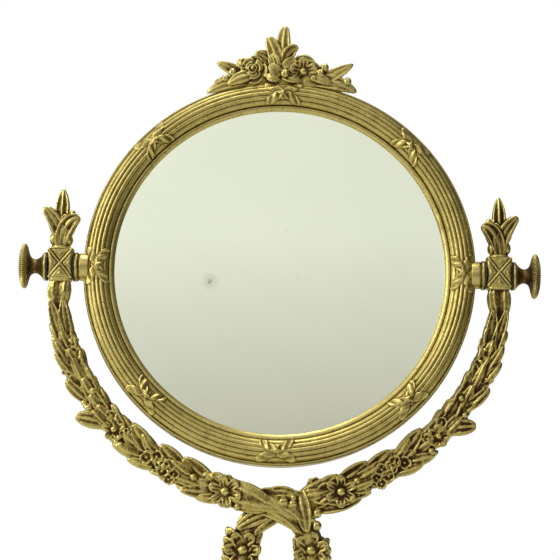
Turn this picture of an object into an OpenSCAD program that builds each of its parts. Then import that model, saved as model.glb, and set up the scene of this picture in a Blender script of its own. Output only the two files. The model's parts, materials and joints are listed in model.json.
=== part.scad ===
// Swing dressing-table mirror in cast brass: a round reeded frame that tilts between two thumb
// knobs in a U-shaped laurel garland, on a turned and reeded round foot.
// Axes: +X right, +Y back, +Z up, front of the glass towards -Y. Origin: centre of the foot's underside.

/* [Mirror head] */
// Outer radius of the round frame
frame_r = 100; // [99:0.5:101]
// Radius of the visible glass
sight_r = 84; // [82:0.5:85]
// Backward lean of the head at rest, in degrees
head_lean = 8; // [-20:1:20]
// Height of the crest's tip over the middle of the frame
crest_tip_r = 131; // [124:1:132]
// Thickness of the mirror glass
glass_t = 3; // [2:0.5:4]
// Number of reeds across the frame
reeds = 5; // [3:1:7]
// Number of ribbon ties round the frame
ties = 8; // [4:1:12]

/* [Garland stand] */
// Height of the tilt axis above the table
axis_z = 240; // [236:1:250]
// Radius of the garland's centre-line about the tilt axis
garland_r = 114; // [113:0.5:116]
// Width of a pivot block along the tilt axis
block_w = 13; // [12:0.5:14]
// Height of a pivot block
block_h = 15.5; // [14:0.5:18]
// Depth of a pivot block, front to back
block_d = 13; // [11:0.5:15]

/* [Pivots] */
// Radius of the threaded stud that carries the head
stud_r = 3; // [2.5:0.25:3.5]
// Radius of a thumb knob's knurled rim
knob_r = 11.4; // [10:0.2:12]
// Length of a thumb knob along the tilt axis
knob_len = 14; // [13.5:0.5:16]

/* [Foot] */
// Outer radius of the round foot
foot_r = 66; // [60:1:75]
// Thickness of the felt under the foot
felt_t = 1.5; // [1:0.25:2]

/* [Hidden] */

left = -1;
right = 1;
fit = 0.05; // running clearance of a shaft in its bore, on the radius
round_fn = 96;
brass = [0.72, 0.60, 0.30];
dark_brass = [0.50, 0.41, 0.20];

// Frame section: r is the distance from the centre, h the height towards the front.
frame_back = -7;
glass_front = 1.2;
rebate_r = sight_r + 4.5;
cover_seat_r = rebate_r + 3.5;
cover_seat_h = -4.3;
reed_mid_r = frame_r - 7.7;
reed_half_w = 5.4;
reed_foot_h = 3;
reed_rise = 4.2;
reed_bump = 0.7;
reed_steps = 4;
tie_w = 2.8;
tie_len = 30;
tie_lean = 62;
tie_proud = 0.5;
glass_r = rebate_r - 0.5;
glass_gap = 0.02;
card_h = glass_front - glass_t;
cover_t = 1.2;
cover_r = cover_seat_r - 0.4;
cover_screw_count = 6;
cover_screw_r = (rebate_r + cover_seat_r) / 2;
small_screw_r = 1;

// Pivot stations along the tilt axis, measured from the middle.
washer_t = 0.7;
block_x = 105.2;
block_mid_x = block_x + block_w / 2;
block_end_x = block_x + block_w;
block_low = -6.1;
block_top = block_low + block_h;
boss_r = 7.6;
boss_end_x = block_x - washer_t - fit;
washer_r = 7.3;
stud_start_x = frame_r + 1;
knob_start_x = block_end_x + washer_t + fit;
stud_end_x = knob_start_x + 10.5;
knob_bore = 11;
peg_r = 1.9;
peg_len = 3;

// Foot and stem stations up the middle.
plate_t = 1;
plate_r = foot_r - 3;
plinth_low = 1;
plinth_wall = 3;
plinth_top = 23.5;
dome_r = foot_r - 15;
dome_top = 38;
stem_r = 13;
cup_low = 56;
cup_top = 67;
cup_r = 13.5;
rod_r = 4;
nut_h = 5;
nut_across = 13;
web_low = 12;
web_top = 15;

// Garland
arm_d = 10.5;
lap_y = 3.2;
lap_half_w = 15;
lap_gap = 0.02;
leaf_pairs = 8;
leaf_first = 15;
leaf_step = 9.5;
leaf_len = 20;
leaf_splay = 22;
leaf_turn = 6;
crossing_screw_r = 1.5;

// The strand leaves the round yoke, crosses the middle and comes down to the cup.
// Points are x, z from the tilt axis, for the arm that starts on the left.
strand_points = [
    [-30, -110], [-18, -113.5], [-6, -117], [6, -121.5], [13.5, -129], [17.5, -139],
    [18, -150], [15.5, -160], [10.5, -168], [7, -174.5]
];

// ---------- shared shapes ----------

// Turns a revolve about Z so that it faces the front.
module facing_front() {
    rotate([90, 0, 0]) children();
}

// Places the head's own parts, drawn about the tilt axis, at the head's lean.
module in_head() {
    translate([0, 0, axis_z]) rotate([-head_lean, 0, 0]) children();
}

// Draws a side part on the right and mirrors it for the left.
module on_side(side) {
    mirror([side == left ? 1 : 0, 0, 0]) children();
}

// Revolves a 2D section about the tilt axis, starting at x and growing outwards.
module along_axis(x) {
    translate([x, 0, 0]) rotate([0, 90, 0]) rotate_extrude($fn = round_fn) children();
}

// Points of a reeded half-round, from -half_w to +half_w.
function reeded(half_w, rise, count, bump) = [
    for (i = [0:count * reed_steps])
        let (t = 180 * i / (count * reed_steps), k = bump * abs(sin(count * t)))
            [-(half_w + k) * cos(t), (rise + k) * sin(t)]
];

function shifted(points, x, y) = [for (p = points) [p[0] + x, p[1] + y]];

function turned(points) = [for (p = points) [p[1], -p[0]]];

// Points of an arc about a centre.
function arc(x, y, r, from, to, steps) = [
    for (i = [0:steps]) let (a = from + (to - from) * i / steps) [x + r * cos(a), y + r * sin(a)]
];

// A flat pointed leaf that starts at the origin and points along +Z.
module leaf(length, width, depth) {
    hull() {
        scale([width * 0.22, depth * 0.5, width * 0.3]) sphere(1, $fn = 8);
        translate([0, 0, length * 0.5]) scale([width / 2, depth / 2, width * 0.6]) sphere(1, $fn = 8);
        translate([0, -depth * 0.1, length - 1]) sphere(1, $fn = 6);
    }
}

// A leaf from one point of the XZ plane to another.
module leaf_between(from, to, width, depth, y = 0) {
    d = to - from;
    translate([from[0], y, from[1]]) rotate([0, atan2(d[0], d[1]), 0]) leaf(norm(d), width, depth);
}

// A flattened ball for a flower, a bud or a berry.
module bloom(at, r, depth, y = 0) {
    translate([at[0], y, at[1]]) scale([r, depth, r]) sphere(1, $fn = 12);
}

// ---------- foot ----------

module base_felt() {
    color("darkgreen") cylinder(h = felt_t, r = plate_r - 0.5, $fn = round_fn);
}

module base_plate() {
    color("dimgray") translate([0, 0, felt_t]) cylinder(h = plate_t, r = plate_r, $fn = round_fn);
}

module base_plinth() {
    reed_mid_z = 10.6;
    reed_half = 4.4;
    reed_r = foot_r - 3.5;
    color(brass) rotate_extrude($fn = round_fn) polygon(concat(
        [[rod_r + fit, web_low], [rod_r + fit, web_top], [14, web_top], [14, web_top + 2]],
        [[dome_r - 6, web_top + 2], [dome_r - 6, plinth_top], [dome_r, plinth_top]],
        arc(dome_r + 7, plinth_top - 1, 6.5, 180, 270, 6),
        shifted(turned(reeded(reed_half, 3, reeds, reed_bump)), reed_r, reed_mid_z),
        [[foot_r - 1, 5.8], [foot_r, 5], [foot_r, plinth_low], [plate_r + 0.1, plinth_low]],
        [[plate_r + 0.1, felt_t + plate_t], [plate_r - 2, felt_t + plate_t]],
        [[plate_r - 2, web_low]]
    ));
}

module base_dome() {
    wall = 3;
    rise = dome_top - plinth_top - 3;
    outer = [for (i = [0:10]) let (t = 9 * i)
        [stem_r + 1 + (dome_r - stem_r - 2) * cos(t), plinth_top + 3 + rise * sin(t)]];
    inner = [for (i = [8:-1:0]) let (t = 9 * i)
        [stem_r + (dome_r - stem_r - 2 - wall) * cos(t), plinth_top + (rise - wall + 2) * sin(t)]];
    color(brass) rotate_extrude($fn = round_fn) polygon(concat(
        [[dome_r, plinth_top], [dome_r, plinth_top + 2]],
        outer,
        [[stem_r + 1, dome_top], [rod_r + fit, dome_top], [rod_r + fit, dome_top - wall - 1]],
        inner
    ));
}

module base_stem() {
    color(brass) rotate_extrude($fn = round_fn) polygon(concat(
        [[rod_r + fit, dome_top], [stem_r, dome_top], [stem_r, dome_top + 2]],
        arc(stem_r - 0.5, dome_top + 6, 4, 270, 180, 5),
        arc(8.5, dome_top + 11, 2.6, 260, 440, 6),
        [[7.4, dome_top + 15.5], [8.6, cup_low - 0.8], [8.6, cup_low], [rod_r + fit, cup_low]]
    ));
}

module socket_cup() {
    rod_in = 7;
    color(brass) difference() {
        rotate_extrude($fn = round_fn) polygon(concat(
            [[0, cup_low], [9, cup_low]],
            arc(cup_r - 1, cup_low + 5.5, 5.2, 250, 180 - 32, 5),
            [[cup_r - 0.6, cup_top - 2.4], [cup_r, cup_top - 1.6], [cup_r, cup_top], [0, cup_top]]
        ));
        translate([0, 0, cup_low - 1]) cylinder(h = rod_in + 1, r = rod_r + fit, $fn = round_fn);
    }
}

module tie_rod() {
    low = web_low - nut_h - 3;
    color("silver") translate([0, 0, low]) cylinder(h = cup_low + 6.5 - low, r = rod_r, $fn = round_fn);
}

module tie_washer() {
    color("silver") translate([0, 0, web_low - 1.2]) difference() {
        cylinder(h = 1.2, r = 9, $fn = round_fn);
        translate([0, 0, -1]) cylinder(h = 4, r = rod_r + fit, $fn = round_fn);
    }
}

module tie_nut() {
    color("silver") translate([0, 0, web_low - 1.2 - nut_h]) difference() {
        cylinder(h = nut_h, r = nut_across / 2 / cos(30), $fn = 6);
        translate([0, 0, -1]) cylinder(h = nut_h + 2, r = rod_r + fit, $fn = round_fn);
    }
}

// ---------- garland ----------

// Centre-line stations of one arm as [x, z, y offset, half width], from the block down to the cup.
function arm_stations(front) = concat(
    [for (i = [0:6]) let (a = 3 + 12 * i)
        [-garland_r * cos(a), -garland_r * sin(a), 0, 4.2 + 0.35 * i]],
    [for (i = [0:len(strand_points) - 1]) let (p = strand_points[i], k = 1 - abs(p[0] + 1) / 18)
        [p[0], p[1], (front ? -lap_y : lap_y) * max(0, k), i > 7 ? 5.2 : 6.4]]
);

module arm_core(front) {
    stations = arm_stations(front);
    for (i = [0:len(stations) - 2]) hull() {
        for (s = [stations[i], stations[i + 1]]) {
            translate([s[0], s[2], s[1]]) scale([s[3], arm_d / 2, s[3]]) sphere(1, $fn = 8);
        }
    }
}

// Pairs of leaves along the round yoke, with their tips towards the block.
module arm_leaves() {
    for (i = [0:leaf_pairs - 1]) {
        a = leaf_first + leaf_step * i;
        translate([-garland_r * cos(a), 0, -garland_r * sin(a)]) rotate([0, leaf_turn - a, 0]) {
            for (k = [-1, 1]) translate([k * 1.5, 0, 0]) rotate([0, k * leaf_splay, 0])
                leaf(leaf_len, 9, arm_d - 1);
        }
    }
    // One leaf of each side springs outwards.
    leaf_between([-92, -66], [-105, -72.5], 8, 8);
}

// Flowers on the front of the yoke and of the strand.
module arm_flowers() {
    for (a = [24, 46, 62, 74]) {
        bloom([-garland_r * cos(a), -garland_r * sin(a)], 7, 3.4, -4);
    }
    bloom([17.5, -139.5], 9.2, 4.5, -3.5);
    bloom([15, -160], 7, 4, -3.5);
}

// The whole arm, drawn for the left side, trimmed to the block above and the cup below.
module arm_shape(front) {
    difference() {
        union() {
            arm_core(front);
            arm_leaves();
            arm_flowers();
        }
        translate([-block_end_x - 10, -20, block_low]) cube([40, 40, 30]);
        translate([-40, -20, cup_top - axis_z - 30]) cube([80, 40, 30]);
        translate([0, 0, -119]) rotate([90, 0, 0]) cylinder(h = 60, r = crossing_screw_r + 0.15, center = true, $fn = 24);
    }
}

module left_garland_arm() {
    color(brass) translate([0, 0, axis_z]) difference() {
        arm_shape(true);
        crossing_lap(-1);
    }
}

module right_garland_arm() {
    color(brass) translate([0, 0, axis_z]) difference() {
        mirror([1, 0, 0]) arm_shape(false);
        crossing_lap(1);
    }
}

// What the half-lap takes away. In the crossing the left arm keeps the front half and the right arm
// the back half. Below it the left arm keeps the right-hand strand and the right arm the left one.
module crossing_lap(side) {
    strand_top = -130;
    lap_low = cup_top - axis_z - 1;
    mirror([0, side < 0 ? 0 : 1, 0]) translate([-lap_half_w, -lap_gap, -132])
        cube([2 * lap_half_w, 20, 30]);
    mirror([side < 0 ? 1 : 0, 0, 0]) translate([-lap_gap, -20, lap_low])
        cube([30, 40, strand_top - lap_low]);
}

module crossing_screw() {
    shank = 11;
    color(brass) translate([0, 8.5, axis_z - 119]) rotate([90, 0, 0]) {
        translate([0, 0, -1.6]) cylinder(h = 1.6, r = 3, $fn = 48);
        cylinder(h = shank, r = crossing_screw_r, $fn = 48);
    }
}

// ---------- pivot blocks and finials ----------

module pivot_block(side) {
    rib = 1.3;
    sunk = 0.7;
    slant = atan2(block_w, block_h);
    inner_w = block_w - 1.6;
    inner_h = block_h - 1.6;
    color(brass) translate([0, 0, axis_z]) on_side(side) difference() {
        union() {
            translate([block_x, -block_d / 2 + sunk, block_low]) cube([block_w, block_d - 2 * sunk, block_h]);
            for (k = [-1, 1]) intersection() {
                translate([block_x, k > 0 ? 0 : -block_d / 2, block_low]) cube([block_w, block_d / 2, block_h]);
                translate([block_mid_x, 0, block_low + block_h / 2]) union() {
                    difference() {
                        cube([block_w, block_d, block_h], center = true);
                        cube([inner_w, block_d + 2, inner_h], center = true);
                    }
                    for (m = [-1, 1]) rotate([0, m * slant, 0])
                        cube([rib, block_d, 3 * block_h], center = true);
                }
            }
        }
        translate([block_x - 1, 0, 0]) rotate([0, 90, 0])
            cylinder(h = block_w + 2, r = stud_r + fit, $fn = round_fn);
        translate([block_mid_x, 0, block_top - peg_len - 0.5]) cylinder(h = peg_len + 1, r = peg_r + fit, $fn = 48);
    }
}

module leaf_finial(side) {
    color(brass) translate([0, 0, axis_z]) on_side(side) translate([block_mid_x, 0, block_top]) {
        translate([0, 0, -peg_len]) cylinder(h = peg_len + 2, r = peg_r, $fn = 24);
        difference() {
            union() {
                leaf_between([0, -2], [0.3, 31], 9.5, 8);
                leaf_between([1, 1], [8.4, 22.5], 8, 6.5);
                leaf_between([-1, 1], [-9.6, 18.5], 8, 6.5);
                leaf_between([1.5, 0], [5.5, 15.5], 6, 7);
                leaf_between([-1.5, 0], [-6.5, 13], 6, 7);
                for (k = [-1, 1]) bloom([k * 3.4, 4.2], 2.5, 3);
                for (k = [-1, 1]) leaf_between([k * 0.5, 0], [k * 2, 24], 6, 9.5);
            }
            translate([-20, -20, -20]) cube([40, 40, 20]);
        }
        hull() for (z = [0, 3]) translate([0, 0, z]) cylinder(h = 0.6, r = 4.6 - z * 0.4, $fn = 16);
    }
}

// ---------- mirror head ----------

// Ribbon ties: two straps that cross over the reeds.
module ribbon_ties() {
    intersection() {
        rotate_extrude($fn = round_fn) translate([reed_mid_r, 0]) polygon(concat(
            [for (i = [0:8]) let (t = 180 * i / 8, k = reed_bump + tie_proud)
                [-(reed_half_w + k) * cos(t), reed_foot_h + (reed_rise + k) * sin(t)]],
            [[reed_half_w - 1, 1], [-reed_half_w + 1, 1]]
        ));
        for (i = [0:ties - 1]) rotate([0, 0, 360 * i / ties]) translate([reed_mid_r, 0, 0])
            for (k = [-1, 1]) rotate([0, 0, k * tie_lean])
                translate([0, 0, 8]) cube([tie_len, tie_w, 20], center = true);
    }
}

module mirror_frame() {
    color(brass) in_head() facing_front() difference() {
        union() {
            rotate_extrude($fn = round_fn) polygon(concat(
                [[frame_r, frame_back], [frame_r, 2], [frame_r - 0.8, reed_foot_h]],
                [for (p = reeded(reed_half_w, reed_rise, reeds, reed_bump)) [reed_mid_r - p[0], reed_foot_h + p[1]]],
                [[sight_r + 0.8, 2], [sight_r, glass_front + 0.3], [sight_r, glass_front]],
                [[rebate_r, glass_front], [rebate_r, cover_seat_h], [cover_seat_r, cover_seat_h]],
                [[cover_seat_r, frame_back]]
            ));
            ribbon_ties();
        }
        cover_screw_places() translate([0, 0, cover_seat_h - 1]) cylinder(h = 5, r = small_screw_r, $fn = 32);
    }
}

module cover_screw_places() {
    for (i = [0:cover_screw_count - 1]) rotate([0, 0, 30 + 360 * i / cover_screw_count])
        translate([cover_screw_r, 0, 0]) children();
}

module mirror_glass() {
    color("aliceblue") in_head() facing_front() translate([0, 0, glass_front - glass_t])
        cylinder(h = glass_t - glass_gap, r = glass_r, $fn = round_fn);
}

module backing_card() {
    color("tan") in_head() facing_front() translate([0, 0, cover_seat_h])
        cylinder(h = card_h - cover_seat_h, r = glass_r, $fn = round_fn);
}

module back_cover() {
    color(dark_brass) in_head() facing_front() difference() {
        translate([0, 0, cover_seat_h - cover_t]) cylinder(h = cover_t, r = cover_r, $fn = round_fn);
        cover_screw_places() translate([0, 0, cover_seat_h - 3]) cylinder(h = 5, r = small_screw_r + 0.1, $fn = 32);
    }
}

module back_cover_screws() {
    color(brass) in_head() facing_front() cover_screw_places() {
        translate([0, 0, cover_seat_h - cover_t - 1]) cylinder(h = 1, r = 1.7, $fn = 32);
        translate([0, 0, cover_seat_h - cover_t]) cylinder(h = cover_t + 3.5, r = small_screw_r - fit, $fn = 32);
    }
}

// The cast spray of leaves and flowers on the top of the frame.
module frame_crest() {
    color(brass) in_head() difference() {
        union() {
            leaf_between([0, 105], [0.6, crest_tip_r - 0.6], 6.5, 6);
            leaf_between([-1, 106], [-8.4, 123], 7, 6);
            leaf_between([1, 106], [6, 118], 6.5, 6);
            for (k = [-1, 1]) {
                leaf_between([k * 18, 101], [k * 35.5, 106], 7, 6);
                leaf_between([k * 14, 100], [k * 35, 95.5], 7, 6);
                leaf_between([k * 6, 103], [k * 14, 111], 8, 6);
                bloom([k * 14, 104.5], 7.4, 4.6, -3);
                bloom([k * 25, 103], 2.6, 3, -1);
                bloom([k * 30, 98.5], 2.6, 3, -1);
                leaf_between([0, 103], [k * 25, 100], 9, 7);
            }
            bloom([0, 105], 5.5, 4.6, -3);
        }
        facing_front() cylinder(h = 40, r = frame_r + 0.1, center = true, $fn = 240);
        crest_screw_places() cylinder(h = 9, r = small_screw_r + 0.1, center = true, $fn = 24);
    }
}

module crest_screw_places() {
    for (k = [-1, 1]) rotate([0, k * 5, 0]) translate([0, 1, frame_r]) children();
}

// Grub screws from inside the frame's outer wall up into the crest.
module crest_screws() {
    color("silver") in_head() crest_screw_places() cylinder(h = 4.2, r = small_screw_r, $fn = 32);
}

module pivot_boss(side) {
    color(brass) in_head() on_side(side) difference() {
        along_axis(frame_r - 3) polygon([
            [0, 0], [boss_r - 1, 0], [boss_r - 0.6, 3.6], [boss_r, 4.6],
            [boss_r, boss_end_x - frame_r + 2.4], [boss_r - 0.6, boss_end_x - frame_r + 3],
            [0, boss_end_x - frame_r + 3]
        ]);
        rotate([90, 0, 0]) cylinder(h = 40, r = frame_r + 0.02, center = true, $fn = round_fn);
        translate([stud_start_x, 0, 0]) rotate([0, 90, 0]) cylinder(h = 20, r = stud_r + 0.02, $fn = round_fn);
    }
}

module pivot_stud(side) {
    color("goldenrod") in_head() on_side(side) translate([stud_start_x, 0, 0]) rotate([0, 90, 0])
        cylinder(h = stud_end_x - stud_start_x, r = stud_r, $fn = round_fn);
}

module washer(side, x) {
    color("saddlebrown") in_head() on_side(side)
        along_axis(x) translate([stud_r + fit, 0]) square([washer_r - stud_r - fit, washer_t - fit]);
}

module thumb_knob(side) {
    neck_r = 4.3;
    rim_t = 4;
    rim_start = knob_len - rim_t - 1;
    // The waist is two quarter curves that meet at the neck.
    waist_in = [for (i = [0:6]) let (a = 15 * i) [boss_r - (boss_r - neck_r) * sin(a), 1 + 4.6 * (1 - cos(a))]];
    waist_out = [for (i = [0:6]) let (a = 15 * i)
        [neck_r + (knob_r - 1.4 - neck_r) * (1 - cos(a)), 5.6 + (rim_start - 5.6) * sin(a)]];
    color(brass) in_head() on_side(side) along_axis(knob_start_x) polygon(concat(
        [[stud_r + fit, 0], [boss_r, 0]],
        waist_in,
        waist_out,
        [[knob_r, rim_start + 1], [knob_r, rim_start + rim_t - 0.6], [knob_r - 1, rim_start + rim_t]],
        [[knob_r - 4, knob_len - 0.4], [0, knob_len], [0, knob_bore], [stud_r + fit, knob_bore]]
    ));
}

base_felt();
base_plate();
base_plinth();
base_dome();
base_stem();
socket_cup();
tie_rod();
tie_washer();
tie_nut();
left_garland_arm();
right_garland_arm();
crossing_screw();
pivot_block(left);  // left_pivot_block
pivot_block(right);  // right_pivot_block
leaf_finial(left);  // left_leaf_finial
leaf_finial(right);  // right_leaf_finial
mirror_frame();
frame_crest();
crest_screws();
mirror_glass();
backing_card();
back_cover();
back_cover_screws();
pivot_boss(left);  // left_pivot_boss
pivot_boss(right);  // right_pivot_boss
pivot_stud(left);  // left_pivot_stud
pivot_stud(right);  // right_pivot_stud
washer(left, boss_end_x);  // left_inner_washer
washer(right, boss_end_x);  // right_inner_washer
washer(left, block_end_x + fit);  // left_outer_washer
washer(right, block_end_x + fit);  // right_outer_washer
thumb_knob(left);  // left_thumb_knob
thumb_knob(right);  // right_thumb_knob
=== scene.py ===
import json
import math

import bmesh
import bpy
import numpy as np
from mathutils import Matrix, Vector


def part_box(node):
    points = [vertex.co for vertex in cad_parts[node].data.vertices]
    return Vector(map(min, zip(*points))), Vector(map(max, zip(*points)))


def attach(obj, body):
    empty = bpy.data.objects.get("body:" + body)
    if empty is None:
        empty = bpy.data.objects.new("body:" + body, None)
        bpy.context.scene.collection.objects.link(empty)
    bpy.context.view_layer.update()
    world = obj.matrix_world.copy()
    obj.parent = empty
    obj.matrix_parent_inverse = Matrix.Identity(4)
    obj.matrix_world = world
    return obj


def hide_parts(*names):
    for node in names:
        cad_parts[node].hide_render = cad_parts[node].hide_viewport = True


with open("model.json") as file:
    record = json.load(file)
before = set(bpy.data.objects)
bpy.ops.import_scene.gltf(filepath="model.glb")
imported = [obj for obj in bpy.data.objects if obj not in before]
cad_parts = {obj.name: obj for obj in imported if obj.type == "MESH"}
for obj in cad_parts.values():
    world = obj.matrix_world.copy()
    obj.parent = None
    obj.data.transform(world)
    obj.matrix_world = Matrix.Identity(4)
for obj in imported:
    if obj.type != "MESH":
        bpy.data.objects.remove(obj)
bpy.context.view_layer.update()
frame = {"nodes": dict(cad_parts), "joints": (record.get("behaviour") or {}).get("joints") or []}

MM = 0.001
TAU = 2 * math.pi
FRONT = np.array((0.0, -1.0, 0.0))
UP = np.array((0.0, 0.0, 1.0))
LEFT, RIGHT = -1, 1
SIDE_NAMES = {LEFT: "left", RIGHT: "right"}

TILT_JOINT = next(j for j in frame["joints"] if j["name"] == "mirror_tilt")
AXIS = Vector(TILT_JOINT["pos_m"])
HEAD_LEAN = math.radians(-8)
STAND = Matrix.Translation(AXIS)
HEAD = STAND @ Matrix.Rotation(HEAD_LEAN, 4, "X")
TABLE = Matrix.Identity(4)

FOOT_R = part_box("base_plinth")[1].x / MM
RING_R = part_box("mirror_frame")[1].x / MM
BLOCK_LOW, BLOCK_HIGH = (np.array(c) / MM - np.array(AXIS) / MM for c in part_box("right_pivot_block"))
KNOB_LOW, KNOB_HIGH = (np.array(c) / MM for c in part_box("right_thumb_knob"))

BLOCK_VOXEL = 0.22
FINE_VOXEL = 0.3
CAST_VOXEL = 0.36
DOME_VOXEL = 0.42
CURVE_STEPS = 20


# ---------- numbers and curves ----------

def unit(vectors):
    return vectors / np.maximum(np.linalg.norm(vectors, axis=-1, keepdims=True), 1e-9)


def bezier(points, u):
    """Points and directions of a curve with three or four control points, for each u from 0 to 1."""
    layer = [np.array(p, float) + 0 * u[:, None] for p in points]
    while len(layer) > 2:
        layer = [a + (b - a) * u[:, None] for a, b in zip(layer, layer[1:])]
    return layer[0] + (layer[1] - layer[0]) * u[:, None], unit(layer[1] - layer[0])


def through(points, count):
    """A smooth curve through rows of numbers, sampled evenly along its length."""
    rows = np.array(points, float)
    rows = np.vstack([2 * rows[0] - rows[1], rows, 2 * rows[-1] - rows[-2]])
    fine = []
    for a, b, c, d in zip(rows, rows[1:], rows[2:], rows[3:]):
        for t in np.linspace(0, 1, CURVE_STEPS, endpoint=False):
            fine.append(0.5 * (2 * b + (c - a) * t + (2 * a - 5 * b + 4 * c - d) * t**2
                               + (3 * b - a - 3 * c + d) * t**3))
    fine = np.array(fine + [rows[-2]])
    length = np.concatenate([[0], np.cumsum(np.linalg.norm(np.diff(fine[:, :3], axis=0), axis=1))])
    even = np.linspace(0, length[-1], count)
    return np.stack([np.interp(even, length, fine[:, k]) for k in range(fine.shape[1])], 1)


def rounded(profile, radius, steps=4):
    """The same outline with each inner corner rounded off, over less than half of the sides beside it."""
    points = [np.array(p, float) for p in profile]
    result = [points[0]]
    for before, corner, after in zip(points, points[1:], points[2:]):
        into, out = before - corner, after - corner
        reach = min(radius, 0.45 * np.linalg.norm(into), 0.45 * np.linalg.norm(out))
        start, end = corner + unit(into) * reach, corner + unit(out) * reach
        for t in np.linspace(0, 1, steps):
            result.append((1 - t)**2 * start + 2 * t * (1 - t) * corner + t**2 * end)
    return np.array(result + [points[-1]])


def lumps(points, size, seed):
    """Soft bumps of about that size, mostly between -1 and 1, at each point."""
    rng = np.random.default_rng(seed)
    total = np.zeros(len(points))
    for _ in range(10):
        wave = unit(rng.normal(size=3)) * TAU / (size * rng.uniform(0.7, 1.6))
        total += np.sin(points @ wave + rng.uniform(0, TAU))
    return total / 4


def bump(x, width):
    return np.exp(-((x / width)**2))


def circle(count):
    return np.linspace(0, TAU, count, endpoint=False)


def soft_square(t, power):
    """How far out a square of half width 1 with rounded corners is, at each angle."""
    return (np.abs(np.cos(t))**power + np.abs(np.sin(t))**power)**(-1 / power)


def crown(s):
    """The rounded section of the band under the reeds, from 0 to 1 and back."""
    return 1 - np.abs(2 * s - 1)**2.3


def sweep(spine, side, out, wide, deep):
    """Rings along a spine, from how far each of their points is to the side and out."""
    return spine[:, None] + side[:, None] * wide[..., None] + out[:, None] * deep[..., None]


# ---------- casting: closed forms that are fused into one piece ----------

class Casting:
    def __init__(self):
        self.points, self.faces, self.count = [], [], 0

    def add(self, grid, loop=False):
        """Adds a tube of rings, shape (rings, points, 3). A looped tube joins its last ring to its first."""
        rings, size = grid.shape[:2]
        index = self.count + np.arange(rings * size).reshape(rings, size)
        rows = np.vstack([index, index[:1]]) if loop else index
        after = np.roll(rows, -1, axis=1)
        quads = np.stack([rows[:-1], after[:-1], after[1:], rows[1:]], -1).reshape(-1, 4)
        self.faces.extend(quads.tolist())
        if not loop:
            self.faces.append(index[0][::-1].tolist())
            self.faces.append(index[-1].tolist())
        self.points.append(grid.reshape(-1, 3))
        self.count += rings * size

    def mesh(self, place):
        points = np.vstack(self.points) * MM
        mesh = bpy.data.meshes.new("casting")
        mesh.from_pydata(points.tolist(), [], self.faces)
        mesh.transform(place)
        return mesh


class Net:
    """The edges of a mesh, for averaging values over neighbouring vertices."""

    def __init__(self, mesh):
        ends = np.empty(len(mesh.edges) * 2, np.int32)
        mesh.edges.foreach_get("vertices", ends)
        ends = ends.reshape(-1, 2)
        self.here = np.concatenate([ends[:, 0], ends[:, 1]])
        self.there = np.concatenate([ends[:, 1], ends[:, 0]])
        self.size = len(mesh.vertices)
        self.degree = np.maximum(np.bincount(self.here, minlength=self.size), 1)

    def average(self, values):
        if values.ndim == 1:
            return np.bincount(self.here, values[self.there], self.size) / self.degree
        return np.stack([self.average(column) for column in values.T], 1)


def vertex_array(mesh, what):
    values = np.empty(len(mesh.vertices) * 3, np.float32)
    mesh.vertices.foreach_get(what, values)
    return values.reshape(-1, 3).astype(float)


def set_points(mesh, points):
    mesh.vertices.foreach_set("co", points.astype(np.float32).ravel())
    mesh.update()


def smooth_cast(mesh, net, rounds):
    """Evens out the voxels' steps without shrinking the form."""
    inward, outward = 0.55, 0.57
    points = vertex_array(mesh, "co")
    for _ in range(rounds):
        points += inward * (net.average(points) - points)
        points -= outward * (net.average(points) - points)
    set_points(mesh, points)


def hand_finish(mesh, amount, seed):
    """The slight unevenness of a cast and chased surface."""
    points, normals = vertex_array(mesh, "co"), vertex_array(mesh, "normal")
    wave = lumps(points / MM, 7, seed) + 0.5 * lumps(points / MM, 2.5, seed + 1)
    set_points(mesh, points + normals * (wave * amount * MM)[:, None])


def store_relief(mesh, fine=5, broad=45, gain=0.75):
    """Keeps how far each vertex stands above its surroundings, 0.5 being level, for the patina and the
    painted shade of the hollows. The surroundings are averaged over two numbers of rounds, for fine and for
    broad hollows."""
    fine_weight, broad_weight, typical = 0.45, 0.75, 72
    net = Net(mesh)
    points, normals = vertex_array(mesh, "co"), vertex_array(mesh, "normal")
    average, total = points, np.zeros(len(points))
    for rounds, weight in ((fine, fine_weight), (broad - fine, broad_weight)):
        for _ in range(rounds):
            average = net.average(average)
        height = ((points - average) * normals).sum(1)
        total += weight * height / max(np.percentile(np.abs(height), typical), 1e-9)
    relief = mesh.attributes.new("relief", "FLOAT", "POINT")
    relief.data.foreach_set("value", (0.5 + 0.5 * np.tanh(gain * total)).astype(np.float32))


def add_object(name, data):
    made = bpy.data.objects.new(name, data)
    bpy.context.scene.collection.objects.link(made)
    return made


def finish_with(mesh, material):
    mesh.materials.clear()
    mesh.materials.append(material)


def show(name, mesh, material, body, *nodes, slot="gilt_brass"):
    """Makes the piece, with its finish, on its body, in place of its CAD nodes."""
    mesh.name = name
    mesh.polygons.foreach_set("use_smooth", [True] * len(mesh.polygons))
    finish_with(mesh, material)
    piece = add_object(name, mesh)
    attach(piece, body)
    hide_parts(*nodes)


def fused(casting, place, voxel=CAST_VOXEL, rounds=3, unevenness=0.05, seed=1):
    """One closed skin round all the forms of a casting."""
    draft = add_object("draft", casting.mesh(place))
    remesh = draft.modifiers.new("fuse", "REMESH")
    remesh.mode = "VOXEL"
    remesh.voxel_size = voxel * MM
    skin = bpy.data.meshes.new_from_object(draft.evaluated_get(bpy.context.evaluated_depsgraph_get()))
    draft_mesh = draft.data
    bpy.data.objects.remove(draft)
    bpy.data.meshes.remove(draft_mesh)
    smooth_cast(skin, Net(skin), rounds)
    hand_finish(skin, unevenness, seed)
    store_relief(skin)
    return skin


def turned(casting, place, fine=3, broad=20, gain=0.8):
    """The forms of a casting as they are, for lathe work that needs no fusing."""
    mesh = casting.mesh(place)
    work = bmesh.new()
    work.from_mesh(mesh)
    bmesh.ops.recalc_face_normals(work, faces=work.faces)
    work.to_mesh(mesh)
    work.free()
    store_relief(mesh, fine, broad, gain)
    return mesh


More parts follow.
